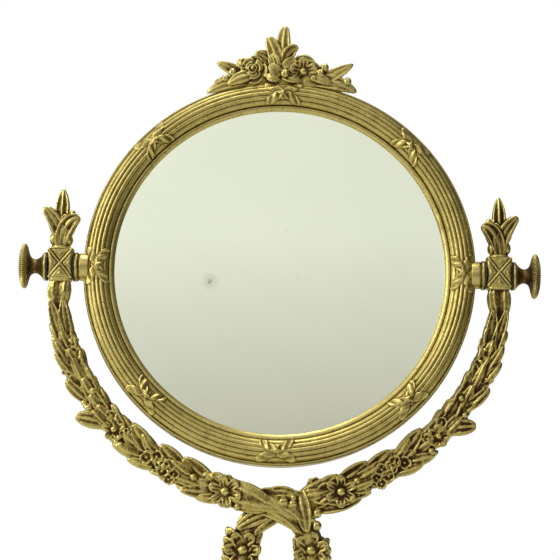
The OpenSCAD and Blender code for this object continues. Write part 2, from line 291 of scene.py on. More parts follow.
# ---------- forms ----------

LEAF_RINGS, LEAF_FACE_POINTS, LEAF_BACK_POINTS = 30, 27, 9
LEAF_ROOT = 0.15
PETAL_POINTS = 24


def leaf(cast, path, width, tilt=0.0, face=FRONT, thick=2.2, dish=0.55, rim=0.32, rib=0.35, keel=0.0,
         ribs=0, veins=0, full=0.56):
    """A leaf along a curve from its base to its tip, with a raised rim and midrib on its face. The keel
    makes it a ridge if positive and a trough if negative."""
    u = np.linspace(0, 1, LEAF_RINGS)
    spine, along = bezier(path, u)
    side = unit(np.cross(along, face))
    out = unit(np.cross(side, along))
    side, out = side * math.cos(tilt) + out * math.sin(tilt), out * math.cos(tilt) - side * math.sin(tilt)
    t = np.concatenate([np.linspace(0, math.pi, LEAF_FACE_POINTS)[:-1],
                        np.linspace(math.pi, TAU, LEAF_BACK_POINTS)[:-1]])
    s, up = np.cos(t)[None, :], np.sin(t)[None, :]
    taper = np.sin(math.pi * (LEAF_ROOT + (1 - LEAF_ROOT) * u))**full
    taper = np.maximum(taper, 0.02)[:, None]
    relief = rim * bump(np.abs(s) - 0.82, 0.17) - dish * (1 - s**2)
    relief = relief + rib * bump(s, 0.2) + keel * (1 - np.abs(s))
    if ribs:
        relief = relief + 0.2 * np.cos(s * math.pi * ribs)
    if veins:
        relief = relief + 0.16 * np.sin(TAU * (veins * u[:, None] - 1.1 * np.abs(s))) * (1 - s**2)
    body = 0.5 * thick * np.sqrt(np.abs(up))
    depth = np.where(up >= 0, body + relief * taper * np.minimum(1, 3 * up), -body)
    cast.add(sweep(spine, side, out, 0.5 * width * taper * s, depth * np.minimum(1, 2.5 * taper)))


def leaves(cast, rows, place, **common):
    """Leaves from rows of base, middle, tip, width and style. place turns a row's points into x, y, z."""
    for base, middle, tip, width, style in rows:
        leaf(cast, [place(p) for p in (base, middle, tip)], width, **common, **style)


def facing(face):
    """A side and an up direction square to a face direction."""
    face = unit(np.array(face, float))
    side = unit(np.cross((0, 0, 1.0), face))
    return -side, np.cross(face, -side), face


def rosette(cast, centre, size, petals=6, height=3.0, face=FRONT, turn=0.0, button=0.26, dish=1.2, veins=1,
            notch=0.5):
    """An open flower with dished, veined petals round a button."""
    across, up, out = facing(face)
    phi = circle(PETAL_POINTS * petals)
    wing = 2 * ((phi + turn) * petals / TAU % 1) - 1
    edge = 1 - notch * np.abs(wing)**2.7
    rows = [(rho, True) for rho in np.linspace(0.02, 1, 22)] + [(1.0, False), (0.6, False), (0.02, False)]
    grid = []
    for rho, front in rows:
        reach = size * rho * (1 - (1 - edge) * min(1, rho / 0.5)**2)
        border = np.maximum(np.abs(wing)**1.5 * min(1, rho * 3), rho)
        lift = height * (0.35 + 0.65 * rho**0.8) - dish * (1 - border**4) * min(1, rho * 2.2)
        lift = lift + 0.5 * veins * bump(wing, 0.16) * rho * (1 - rho) * 3
        lift = lift - 1.5 * bump(1 - np.abs(wing), 0.14) * min(1, rho * 2)
        lift = lift - 0.35 * height * bump(1 - rho, 0.12)
        if button > 0 and rho < button * 1.5:
            dome = math.sqrt(max(0.0, 1 - (rho / (button * 1.15))**2))
            lift = np.where(dome > 0, np.maximum(lift, height * 0.45 + 0.24 * size * dome), lift)
        lift = lift if front else lift * 0 - height * 0.6
        grid.append(np.array(centre) + np.outer(np.cos(phi) * reach, across)
                    + np.outer(np.sin(phi) * reach, up) + np.outer(lift, out))
    cast.add(np.array(grid))


def bud(cast, centre, radii, face=FRONT, groove=0.0):
    """An upright egg shape, its radii across, in depth and in height, with a cleft on its face."""
    side = unit(np.cross(UP, face))
    out = np.cross(side, UP)
    v = np.linspace(0.02, math.pi - 0.02, 18)[:, None]
    t = circle(36)[None, :]
    ring = np.sin(v) * (1 - groove * bump(np.sin((t - math.pi / 2) / 2), 0.16))
    wide, deep, high = radii[0] * ring * np.cos(t), radii[1] * ring * np.sin(t), radii[2] * -np.cos(v)
    cast.add(np.array(centre) + UP * (high * np.ones_like(t))[..., None]
             + side * wide[..., None] + out * deep[..., None])


def vine(cast, rows, count, stalks=4, twist=0.22):
    """The stem of a garland: a twisted rope of stalks. Each row is x, y, z, half width, half depth."""
    rows = through(rows, count)
    along = unit(np.gradient(rows[:, :3], axis=0))
    side = unit(np.cross(along, FRONT))
    out = np.cross(side, along)
    t = circle(48)
    distance = np.arange(count) * np.linalg.norm(np.diff(rows[:2, :3], axis=0))
    swell = 1 + 0.10 * np.abs(np.sin(stalks * t[None, :] / 2 + twist * distance[:, None]))
    wide, deep = rows[:, 3:4] * swell * np.cos(t), rows[:, 4:5] * swell * np.sin(t)
    cast.add(sweep(rows[:, :3], side, out, wide, deep))


def lathe(cast, profile, axis="Z", around=192, shape=None):
    """Turns an outline of (radius, height) pairs about an axis. shape changes the radii and heights."""
    phi = circle(around)
    profile = np.array(profile, float)
    radius = profile[:, 0:1] + 0 * phi
    height = profile[:, 1:2] + 0 * phi
    if shape:
        radius, height = shape(radius, height, phi)
    flat = (radius * np.cos(phi), radius * np.sin(phi), height)
    order = {"Z": (0, 1, 2), "X": (2, 0, 1)}[axis]
    cast.add(np.stack([flat[k] for k in order], -1))


# ---------- the reeded ring and its ribbon ties ----------

LIP_R = 84.2
REEDS = 5
REED_INNER_R, REED_OUTER_R = 87.4, 98.4
REED_FOOT, REED_CROWN = 2.6, 3.6
OFF_REEDS = -1.0
TIES = 8
TIE_STEP = TAU / TIES
TIE_SPREAD = 0.135
TIE_SLOPE = math.radians(26)
TIE_LEG = 10.2
RIBBON_EDGE = 0.12


def strap_height(x, y, hand):
    """Height of one ribbon of a tie over the reeds, at x along and y across the moulding, and its cover."""
    along = x * math.cos(TIE_SLOPE) + hand * y * math.sin(TIE_SLOPE)
    across = -hand * x * math.sin(TIE_SLOPE) + y * math.cos(TIE_SLOPE)
    half = 0.85 + 1.15 * np.sin(math.pi * np.minimum(1, np.abs(along) / TIE_LEG))**0.7
    cover = (np.abs(along) < TIE_LEG) / (1 + np.exp((np.abs(across) - half) / RIBBON_EDGE))
    twist = np.abs((along * 0.2 + 0.22 * across * np.sign(along)) % 1 - 0.5) * 2
    crossing = bump(along, 1.8) * (1.0 if hand > 0 else 0.4)
    return 0.3 + 0.8 * twist + crossing, cover


def tie(x, y, reach):
    """Height and cover of a crossed pair of ribbons, which end where the reeds end."""
    inside = 1 / (1 + np.exp((np.abs(y) - reach) / RIBBON_EDGE))
    height, cover = np.zeros_like(x), np.zeros_like(x)
    for hand in (-1, 1):
        strap, own = strap_height(x, y - 0.1, hand)
        own = own * inside
        height = np.where(own > 0.5, np.maximum(height, strap) * own, np.maximum(height, strap * own))
        cover = np.maximum(cover, own)
    return height, cover


def with_reeds(before, reeds, after):
    """A whole outline of (radius, height, s) from plain stretches before and after the reeds."""
    plain = [np.column_stack([part, np.full(len(part), OFF_REEDS)]) for part in (before, after)]
    return np.vstack([plain[0], reeds, plain[1]])


def outward(profile):
    slope = np.gradient(profile[:, :2], axis=0)
    return unit(np.stack([slope[:, 1], -slope[:, 0]], 1))


def from_tie(angle):
    """How far each angle is from the middle of the nearest tie."""
    return angle - np.round(angle / TIE_STEP) * TIE_STEP


def reeded(radius, height, s, x, y, reach, out_r, out_h, amount=0.78):
    """Raises reeds, or ties where they cross, along the outward direction. s runs 0 to 1 over the reeds."""
    on = (s >= 0) & (s <= 1)
    reed = np.where(on, np.abs(np.sin(math.pi * REEDS * s))**0.6, 0) * amount
    strap, cover = tie(x, y, reach)
    cover = cover * on
    rise = reed * (1 - cover) + (amount * 0.55 + strap) * cover
    return radius + out_r * rise, height + out_h * rise


def ring_profile():
    """(radius, height, s) down the outer wall, across the front and back through the rebate."""
    s = np.linspace(0, 1, 61)
    across = REED_OUTER_R + (REED_INNER_R - REED_OUTER_R) * s
    reeds = np.stack([across, REED_FOOT + REED_CROWN * crown(s), s], 1)
    wall = rounded([(92.2, -7), (RING_R, -7), (RING_R, 1.6), (99.4, 2.9), (98.5, 2.2)], 0.8)
    lip = rounded([(87.25, 2.2), (86.7, 3.0), (85.2, 2.6), (LIP_R, 1.5), (LIP_R, 1.2), (88.5, 1.2),
                   (88.5, -4.3), (92.2, -4.3), (92.2, -7)], 0.5, 3)[:-1]
    return with_reeds(wall, reeds, lip)


def ring_angles():
    """Angles round the ring, close together at the ties."""
    angles = []
    for k in range(TIES):
        angles.append(TIE_STEP * k + np.linspace(-TIE_SPREAD, TIE_SPREAD, 82))
        angles.append(TIE_STEP * k + np.linspace(TIE_SPREAD, TIE_STEP - TIE_SPREAD, 70)[1:-1])
    return np.concatenate(angles)


def mirror_ring():
    profile = ring_profile()
    angle = ring_angles()[:, None]
    radius, height, s = (profile[None, :, k] + 0 * angle for k in range(3))
    out = outward(profile)
    middle_r = (REED_INNER_R + REED_OUTER_R) / 2
    x = from_tie(angle) * middle_r + 0 * radius
    reach = (REED_OUTER_R - REED_INNER_R) / 2 + 0.2
    radius, height = reeded(radius, height, s, x, radius - middle_r, reach, out[None, :, 0], out[None, :, 1])
    points = np.stack([radius * np.cos(angle), radius * np.sin(angle), height], -1)
    wobble = lumps(points.reshape(-1, 3), 9, 5).reshape(height.shape)
    height = height + 0.07 * wobble * (height > 2)
    turn = angle + math.pi / 2
    cast = Casting()
    cast.add(np.stack([radius * np.cos(turn), -height, radius * np.sin(turn)], -1), loop=True)
    return turned(cast, HEAD, 3, 24, gain=0.95)


# ---------- the crest ----------

# Leaves of the crest: base, middle and tip as (x, depth in front, z), width, then the leaf's style.
CREST_LEAVES = (
    ((0.4, 2, 104), (-1.8, 4.5, 119), (0.7, 3.0, 129.9), 8.0, dict(rib=0.5, full=0.42)),
    ((-2.2, 2, 104), (-4.2, 4.5, 116), (-8.6, 3.8, 123.8), 8.2, dict(rib=0.5, full=0.42)),
    ((0.2, 4, 110), (3.2, 7.0, 118), (7.4, 5.5, 116.6), 7.0, dict(dish=0.9, rim=0.5, tilt=-0.4)),
    ((-19, 2, 101), (-25, 4.5, 105.6), (-35, 3.5, 109.2), 6.8, dict(rib=0.2)),
    ((18, 2, 101), (26, 4.5, 103.0), (36, 3.5, 110.0), 6.6, dict(rib=0.2)),
    ((15, 2, 100.5), (26, 5.0, 101.6), (38, 2.0, 95.0), 8.2, dict(ribs=2)),
    ((-15, 2, 101.0), (-27, 5.0, 100.6), (-40, 2.0, 93.0), 7.0, dict(ribs=1)),
    ((-17, 3.5, 102.6), (-22, 5.6, 101.6), (-29.0, 4.0, 97.4), 6.6, dict(keel=0.5)),
    ((-13, 2, 104), (-18, 4.0, 110), (-24.8, 3.2, 110.0), 6.4, {}),
    ((-8, 3.5, 103), (-6, 5.4, 101.2), (-1.5, 3.6, 100.6), 5.6, dict(keel=0.4)),
    ((0, 3.5, 102.6), (4, 5.4, 101.0), (9, 3.6, 100.2), 5.2, dict(keel=0.4)),
    ((14, 3.5, 102.6), (19, 5.4, 102.0), (25, 3.6, 98.6), 5.6, dict(keel=0.4)),
    ((-3, 1, 106), (-9, 3.5, 114), (-15.5, 3.2, 114.6), 8.4, dict(ribs=4, rib=0.0)),
    ((6, 2, 110.0), (9.6, 4.0, 113.6), (16.0, 3.2, 109.8), 6.0, dict(ribs=3, rib=0.0)),
    ((8, 2, 107.5), (13, 4.2, 110.6), (19.5, 3.0, 106.2), 5.6, dict(ribs=3, rib=0.0)),
    ((-4.6, 5, 106.6), (-4.4, 7.4, 109.8), (-7.0, 5.8, 113.4), 6.4, dict(ribs=4, rib=0.0, full=0.4)),
    ((-2.0, 5, 102.6), (-4.0, 7.6, 105.0), (-7.6, 6.0, 107.6), 6.0, dict(ribs=4, rib=0.0, full=0.4)),
    ((-0.4, 5, 106.4), (3.0, 7.4, 108.2), (5.6, 6.0, 111.6), 6.2, dict(dish=0.9, rib=0.0, full=0.4)),
)
CREST_BUDS = (
    ((21.0, 4.0, 107.6), 2.2), ((19.0, 5.0, 104.2), 2.0), ((0.6, 6.6, 103.2), 2.2),
    ((33.0, 3.0, 100.6), 2.1), ((-26.6, 4.4, 104.0), 2.0), ((-30.1, 3.6, 101.0), 2.0),
    ((-22.8, 4.0, 107.8), 1.7), ((15.4, 4.4, 101.6), 1.8),
)
# Solid masses behind the leaves: x, z, half width, half height.
CREST_MOUNDS = (
    (0, 104, 13, 9.5), (-16, 102.5, 11, 7.5), (14, 102.5, 11, 7.0), (-28, 99.0, 8, 3.6), (27, 99.2, 8, 3.8),
)
# Layers of the rose: share of its size, petals, height, and how far it is off the middle in x and z.
ROSE_LAYERS = (
    (1.0, 5, 1.4, 0, 0), (0.76, 4, 2.7, -0.4, 0.5), (0.54, 3, 3.8, 0.3, 0.2), (0.33, 3, 4.7, 0, 0),
)


def front(point):
    """(x, depth in front, z) as (x, y, z)."""
    return (point[0], -point[1], point[2])


def rose(cast, x, depth, z, size):
    """A full rose: nested cupped layers round a tight heart."""
    for k, (share, petals, high, dx, dz) in enumerate(ROSE_LAYERS):
        rosette(cast, (x + dx, -depth, z + dz), size * share, petals, high, turn=1.9 * k, button=0, dish=1.5,
                veins=0, notch=0.16)
    bud(cast, (x, -depth - 4.2, z), (size * 0.14, 1.2, size * 0.13))


def crest():
    cast = Casting()
    leaves(cast, CREST_LEAVES, front)
    for centre, size in CREST_BUDS:
        bud(cast, front(centre), (size, size * 0.95, size * 1.05), groove=0.2)
    for x, z, wide, high in CREST_MOUNDS:
        bud(cast, (x, -1.0, z), (wide, 3.4, high))
    rose(cast, -16.2, 3.6, 105.6, 7.8)
    rosette(cast, (10.0, -4.8, 105.2), 7.4, petals=5, height=2.6, face=(0.12, -1, -0.4), turn=0.9, dish=1.5)
    return fused(cast, HEAD, FINE_VOXEL, seed=11)


# ---------- pivot blocks and finials ----------

RIBBON_HALF = 0.12


def block_relief(x, z, half_w, half_h):
    """A crossed ribbon, with a cut pyramid in each of the four panels between its arms."""
    across, up = x / half_w, z / half_h
    cross = np.minimum(np.abs(across - up), np.abs(across + up))
    edge = 1 - np.maximum(np.abs(across), np.abs(up))
    panel = np.minimum(cross, edge * 2)
    pyramid = 0.95 * panel + 0.07 * np.cos(panel * 20)
    ribbon = 0.62 * (1 - (cross / RIBBON_HALF)**4)
    return np.where(cross < RIBBON_HALF, ribbon, pyramid) + 0.35 * (edge < 0.06)


def block(side):
    """A square block with soft corners, carved on its front and back."""
    face_share, carving = 0.68, 0.75
    centre = (BLOCK_LOW + BLOCK_HIGH) / 2
    half = (BLOCK_HIGH - BLOCK_LOW) / 2
    z = np.linspace(-half[2], half[2], 90)[:, None]
    t = circle(260)[None, :]
    reach = soft_square(t, 9)
    pull = 1 - 0.05 * bump(1 - np.abs(z / half[2]), 0.06)
    x, y = half[0] * reach * np.cos(t) * pull, (half[1] - carving) * reach * np.sin(t) * pull
    carved = block_relief(x, z + 0 * x, half[0], half[2]) * (np.abs(np.sin(t)) > face_share)
    y = y + np.sign(y) * carved
    cast = Casting()
    grid = np.stack([centre[0] + x, y, centre[2] + z + 0 * x], -1)
    cast.add(grid * (side, 1, 1))
    return fused(cast, STAND, BLOCK_VOXEL, rounds=2, unevenness=0.02, seed=20 + side)


# Lobes of a finial, from the block's top: base, middle and tip as (outwards, depth in front, up), width,
# style.
FINIAL_LOBES = (
    ((0.2, 2.0, 10), (-0.3, 2.8, 22), (-0.7, 0.6, 31.0), 7.0, dict(rib=0.6, ribs=2, full=0.75)),
    ((-0.6, 3.0, 1), (1.4, 4.6, 15), (9.4, 3.2, 20.6), 7.6, dict(ribs=3, rib=0.0, full=0.45)),
    ((0.6, 3.0, 1), (-2.2, 5.4, 16), (-9.2, 4.2, 15.4), 7.6, dict(ribs=2, dish=1.0, rim=0.5, full=0.42)),
    ((0.4, 2.8, 0), (-0.2, 4.0, 9), (-2.2, 3.4, 17.5), 6.4, dict(ribs=3, rib=0.0, dish=0.2, full=0.45)),
    ((0.4, 2.8, 0), (1.2, 3.8, 9), (3.4, 3.2, 17.0), 5.6, dict(ribs=2, rib=0.0, dish=0.2, full=0.45)),
    ((2.2, 1.2, 6), (3.2, 2.4, 16), (6.6, 1.8, 21.0), 5.4, dict(keel=0.5)),
    ((-2.2, 1.2, 6), (-3.4, 2.4, 15), (-6.2, 1.8, 19.6), 5.4, dict(keel=0.5)),
    ((-2.6, 2.4, 6), (-3.6, 3.2, 9.5), (-7.0, 2.2, 12.4), 4.4, dict(dish=0.8)),
    ((2.4, 2.4, 7), (3.6, 3.2, 10), (5.8, 2.0, 14.4), 4.4, dict(dish=0.5)),
)
# The solid heart of a finial: height over the block, half width, half depth.
FINIAL_HEART = (
    (-0.4, 4.8, 4.8), (0.9, 4.8, 4.8), (1.8, 3.5, 3.5), (5, 3.6, 3.2), (10, 3.8, 3.2), (15, 4.2, 3.0),
    (19, 3.6, 2.4), (23, 2.4, 1.8), (29.5, 0.7, 0.8),
)
BLOCK_X = (BLOCK_LOW[0] + BLOCK_HIGH[0]) / 2


def finial(side):
    top = BLOCK_HIGH[2]
    cast = Casting()
    for back in (1, -1):
        face = FRONT * back
        leaves(cast, FINIAL_LOBES, lambda p: (side * (BLOCK_X + p[0]), -p[1] * back, top + p[2]),
               face=face, thick=2.4)
        for out in (-4.0, 4.0):
            bud(cast, (side * (BLOCK_X + out), -2.4 * back, top + 4.4), (1.7, 2.0, 3.0), face)
    vine(cast, [(side * BLOCK_X, 0, top + up, wide, deep) for up, wide, deep in FINIAL_HEART], 60, twist=0)
    return fused(cast, STAND, FINE_VOXEL, seed=30 + side)


# ---------- the garland ----------

GARLAND_R = 114.4
STEM_R = 113.8

# Leaves of an arm: angle below the axis and radius of the base, the same of the tip, width, style.
ARM_LEAVES = (
    (22.0, 115.4, 8.4, 117.6, 6.0, dict(rim=0.6, dish=0.9)),
    (21.0, 113.4, 8.8, 110.6, 6.4, dict(rim=0.6, dish=1.0)),
    (26.0, 116.6, 16.8, 120.2, 5.6, dict(keel=0.6)),
    (28.6, 117.6, 21.0, 121.8, 4.8, dict(keel=0.6)),
    (38.5, 114.6, 25.0, 111.0, 7.6, dict(rim=0.6, dish=1.3)),
    (32.0, 114.4, 22.4, 114.0, 4.6, dict(keel=0.8)),
    (35.4, 118.0, 28.0, 122.0, 6.2, dict(ribs=2, keel=0.5)),
    (43.0, 114.8, 33.4, 112.0, 6.8, dict(keel=-0.6, rim=0.6)),
    (42.5, 116.0, 37.2, 127.0, 9.0, dict(ribs=3, dish=0.4, full=0.42, thick=3.4)),
    (44.0, 117.4, 37.0, 118.4, 5.0, dict(keel=0.8)),
    (47.4, 113.2, 40.6, 110.4, 6.4, dict(keel=-0.4, rim=0.6)),
    (56.5, 112.0, 46.4, 107.8, 8.0, dict(ribs=2, rim=0.5, dish=0.9)),
    (58.5, 113.0, 51.0, 107.4, 5.6, dict(keel=0.7)),
    (55.5, 116.8, 47.8, 121.8, 6.6, dict(ribs=1, keel=0.5)),
    (58.5, 118.6, 52.0, 122.2, 5.2, dict(keel=0.6)),
    (65.0, 110.8, 57.0, 106.8, 8.0, dict(ribs=2, rim=0.5, dish=0.9)),
    (70.0, 113.6, 61.0, 110.4, 6.4, dict(keel=0.8)),
    (73.5, 113.0, 64.2, 106.4, 9.0, dict(dish=1.4, rim=0.8)),
    (72.0, 115.6, 63.8, 116.6, 5.4, dict(keel=0.8)),
    (75.5, 116.4, 66.2, 121.6, 7.0, dict(ribs=2, dish=0.9, rim=0.6)),
    (78.0, 118.6, 71.0, 122.4, 5.4, dict(keel=0.5)),
    (79.0, 111.0, 72.6, 107.6, 5.6, dict(keel=0.5)),
)
# Flowers of an arm: angle, radius, size, petals, height. A flower with no petals is a small ring cup.
ARM_FLOWERS = (
    (19.8, 111.6, 3.4, 5, 2.0), (23.2, 112.0, 3.6, 5, 2.2), (26.6, 118.6, 3.6, 5, 2.2),
    (45.0, 116.2, 6.0, 5, 2.8), (42.0, 112.4, 3.0, 0, 1.6), (47.4, 113.4, 2.8, 0, 1.5),
    (55.8, 116.0, 3.4, 0, 2.0), (57.8, 112.8, 3.4, 0, 2.0), (60.9, 117.6, 3.4, 0, 2.1),
    (61.7, 113.2, 3.4, 0, 1.9), (63.3, 119.6, 2.9, 0, 1.6), (59.3, 115.2, 2.9, 0, 1.8),
    (63.8, 115.9, 2.7, 0, 1.7),
)
# The last large flower of each arm before the crossing.
LAST_FLOWER = {LEFT: (77.3, 115.0, 8.6, 6, 3.0), RIGHT: (73.3, 116.0, 8.2, 6, 2.8)}
ARM_BERRIES = (
    (73.1, 109.4, 1.8), (48.8, 119.5, 1.9), (34.0, 112.5, 1.7), (36.8, 119.0, 1.8), (68.6, 113.2, 2.0),
)


def on_yoke(side, angle, radius, depth):
    a = math.radians(angle)
    return np.array((side * radius * math.cos(a), -depth, -radius * math.sin(a)))


def yoke_leaf(cast, side, back, row, rng, depth=3.0):
    base_a, base_r, tip_a, tip_r, width, style = row
    jitter = rng.normal(size=4) * (0.35, 0.3, 0.35, 0.3)
    ends = ((base_a + jitter[0], base_r + jitter[1]), (tip_a + jitter[2], tip_r + jitter[3]))
    middle = (0.45 * ends[0][0] + 0.55 * ends[1][0], 0.5 * (ends[0][1] + ends[1][1]) + 0.3)
    style = {"thick": 3.0, "rib": 0.45, "lift": 1.0, "tilt": 0.0, **style}
    style["tilt"] *= side * back
    depths = (depth, depth + 2.8, depth + style.pop("lift"))
    path = [on_yoke(side, a, r, d * back) for (a, r), d in zip((ends[0], middle, ends[1]), depths)]
    leaf(cast, path, width, face=FRONT * back, **style)


def yoke_filling(cast, side, back, rng):
    """Rows of short plain leaves behind the named ones, tips splayed out and towards the block."""
    first, last, spacing = 20, 86, 4.4
    for angle in np.arange(first, last, spacing):
        for edge in (-1, 1, 0):
            a = angle + rng.uniform(-1.0, 1.0) + spacing / 2 * (edge == 0)
            length = rng.uniform(6.2, 7.4)
            splay = 3.4 + 2.6 * min(1, angle / 44)
            tip_r = GARLAND_R + edge * splay + rng.uniform(-0.7, 0.7)
            style = dict(keel=0.5, dish=0.4, tilt=0.45 * edge, lift=rng.uniform(1.2, 2.6))
            row = (a, GARLAND_R + edge * 0.8, a - length, tip_r, rng.uniform(5.6, 6.8), style)
            yoke_leaf(cast, side, back, row, rng, depth=1.4 if edge else 2.2)


def yoke_flowers(cast, side, back):
    for angle, radius, size, petals, height in (*ARM_FLOWERS, LAST_FLOWER[side]):
        depth = 5.2 if size > 7 or not petals else 4.2
        centre = on_yoke(side, angle, radius, depth * back)
        if petals:
            rosette(cast, centre, size, petals, height, FRONT * back, turn=angle, dish=1.5, notch=0.58)
        else:
            rosette(cast, centre, size, 4, height, FRONT * back, turn=angle, button=0.2, dish=height * 0.7,
                    veins=0, notch=0.22)
    for angle, radius, size in ARM_BERRIES:
        bud(cast, on_yoke(side, angle, radius, 5.0 * back), (size, size, size), FRONT * back)


# The lower end of each arm, after the yoke: x, y, z, half width, half depth.
STRANDS = {
    LEFT: (
        (-23, 0, -112, 5.0, 4.6), (-12, -1.6, -115.6, 5.2, 4.4), (-2, -3.2, -119, 5.2, 3.9),
        (6, -3.4, -122, 5.2, 3.9), (13, -2.2, -127.5, 5.4, 4.2), (17.6, -0.6, -134, 5.6, 4.6),
        (18.8, 0, -142, 5.8, 4.8), (18.0, 0, -152, 5.6, 4.8), (14.4, 0, -161, 5.2, 4.6),
        (9.0, 0, -168.5, 4.8, 4.4), (5.6, 0, -173.4, 4.6, 4.4),
    ),
    RIGHT: (
        (36, 0, -108.6, 5.0, 4.6), (26, 1.6, -112.4, 5.2, 4.4), (15, 3.4, -116, 5.2, 3.9),
        (5, 3.6, -120, 5.2, 3.9), (-4, 2.8, -124.4, 5.4, 4.2), (-12, 1.0, -130.4, 5.6, 4.6),
        (-15.7, 0, -138, 5.8, 4.8), (-16, 0, -150, 5.6, 4.8), (-13.4, 0, -160, 5.2, 4.6),
        (-8.6, 0, -168.2, 4.8, 4.4), (-5.4, 0, -173.4, 4.6, 4.4),
    ),
}
# The row of each strand from which it hangs clear below the crossing.
BELOW_CROSSING = 5


def stem_rows(side):
    """The whole stem of an arm, from the block round the yoke and down its strand."""
    yoke = []
    last = {LEFT: 72, RIGHT: 66}[side]
    for angle in range(4, last, 7):
        x, y, z = on_yoke(side, angle, STEM_R, 0)
        swell = min(1, angle / 30)
        yoke.append((x, y, z, 3.6 + 1.6 * swell, 4.0 + 0.8 * swell))
    return yoke + list(STRANDS[side])


def strand_filling(cast, side, rng):
    """Leaves up both edges of the strand below the crossing, on both faces."""
    line = through(STRANDS[side][BELOW_CROSSING:], 60)
    along = unit(np.gradient(line[:, :3], axis=0))
    for back in (1, -1):
        face = FRONT * back
        for k in range(14, 58, 5):
            across = np.array((along[k, 2], 0, -along[k, 0]))
            for edge in (-1, 1):
                root = line[k, :3] + across * edge * 1.2 + face
                splay = across * edge * (8.6 + rng.uniform(-0.6, 0.6))
                tip = line[k, :3] - along[k] * 9.5 + splay + face * 2
                middle = (root + tip) / 2 + across * edge * 1.2 + face * 2.6
                leaf(cast, (root, middle, tip), 6.4, tilt=0.5 * edge * back, face=face, dish=0.4)


# Sections of the calyx down from the block: height about the axis, half width, half depth.
CALYX = (
    (-6.0, 6.1, 6.0), (-6.8, 6.2, 6.1), (-8.0, 5.1, 5.0), (-10.0, 4.9, 4.8), (-14, 4.1, 4.4),
    (-18, 3.5, 4.0), (-25, 3.4, 4.0),
)
# The calyx's two leaves on each face: base, middle and tip as (outwards from the block's middle, height).
SHEATH = (((-2.6, -7.6), (-2.8, -13), (-0.2, -23)), ((2.6, -7.6), (3.6, -13), (2.2, -23)))
SHEATH_DEPTHS = (4.4, 5.4, 3.0)


def calyx(cast, side):
    """The moulding under the block, and the sheath of leaves that narrows from it, tips down."""
    t = circle(72)
    reach = soft_square(t, 4)
    rings = []
    for z, wide, deep in through(CALYX, 40):
        drift = 0.05 * max(0, -9 - z)
        x = side * (BLOCK_X + drift + wide * reach * np.cos(t))
        rings.append(np.stack([x, deep * reach * np.sin(t), z + 0 * t], -1))
    cast.add(np.array(rings))
    for face in (FRONT, -FRONT):
        for points in SHEATH:
            path = [(side * (BLOCK_X + x), face[1] * d, z) for (x, z), d in zip(points, SHEATH_DEPTHS)]
            leaf(cast, path, 6.2, face=face, thick=1.4, dish=0.1, rim=0.0, rib=0.5, keel=0.3, full=0.45)


def arm(side):
    rng = np.random.default_rng(40 + side)
    cast = Casting()
    vine(cast, stem_rows(side), 120)
    calyx(cast, side)
    for back in (1, -1):
        yoke_filling(cast, side, back, rng)
        for row in ARM_LEAVES:
            yoke_leaf(cast, side, back, row, rng)
        yoke_flowers(cast, side, back)
    strand_filling(cast, side, rng)
    crossing(cast, side)
    return fused(cast, STAND, unevenness=0.09, seed=50 + side)


# Leaves over the crossing: base, middle and tip as (x, z), width, depth in front, style.
CROSSING_LEAVES = {
    LEFT: (
        ((-27, -108.6), (-9, -111.4), (-1, -120.0), 8.4, 4.4, dict(keel=1.0, dish=0.1)),
        ((-28, -115.4), (-10, -119.6), (6, -120.0), 7.0, 4.6, dict(keel=1.0, dish=0.1)),
        ((-17, -115.0), (0, -115.4), (13.4, -128.6), 7.6, 4.8, dict(keel=1.0, ribs=1)),
        ((-22, -118.6), (-10, -122.0), (-1, -120.6), 5.0, 4.2, dict(keel=0.8)),
        ((-6, -122.0), (4, -122.6), (13.6, -133), 6.2, 4.8, dict(keel=0.8, ribs=1)),
        ((-2, -119.6), (7, -119.0), (15, -127), 5.6, 5.4, dict(keel=0.8)),
        ((3.6, -118.6), (-2, -112.6), (-8.4, -112.2), 8.2, 3.4, dict(dish=1.6, rim=0.7)),
        ((-4, -112.6), (4, -109.8), (12.6, -113.6), 5.4, 4.4, dict(dish=1.0, rim=0.6)),
        ((2, -117), (8, -112.6), (14, -113.6), 6.4, 2.4, dict(keel=0.6)),
        ((12.0, -111.2), (14.6, -121), (16.6, -132.4), 8.6, 5.6, dict(keel=-0.9, rib=0.8, rim=0.6, dish=0.2)),
    ),
    RIGHT: (
        ((17, -120), (20, -111), (20.6, -103.8), 7.6, 2.8, dict(rim=0.6, dish=0.9)),
        ((18, -120), (26, -111), (29.6, -103.2), 8.2, 3.4, dict(rim=0.6, ribs=2)),
        ((16, -116), (19, -109), (17.6, -104.6), 5.4, 1.6, dict(keel=0.6)),
        ((19, -119), (27, -115.4), (31, -109.0), 6.0, 3.8, dict(keel=0.8)),
        ((20, -120), (32, -119), (44, -114.4), 7.2, 2.6, dict(ribs=2, keel=0.5)),
        ((24, -117), (36, -118), (47, -109.4), 5.4, 3.4, dict(keel=0.7)),
        ((5, -120), (-6, -121.6), (-19.6, -131.4), 9.6, 2.4, dict(ribs=3, dish=0.2, rib=0.4, full=0.5)),
        ((2, -124), (-5, -126.6), (-11.6, -135), 6.4, 2.0, dict(keel=0.8)),
        ((-6, -120.4), (-14, -122.6), (-19.0, -130), 5.4, 1.4, dict(keel=0.6)),
    ),
}
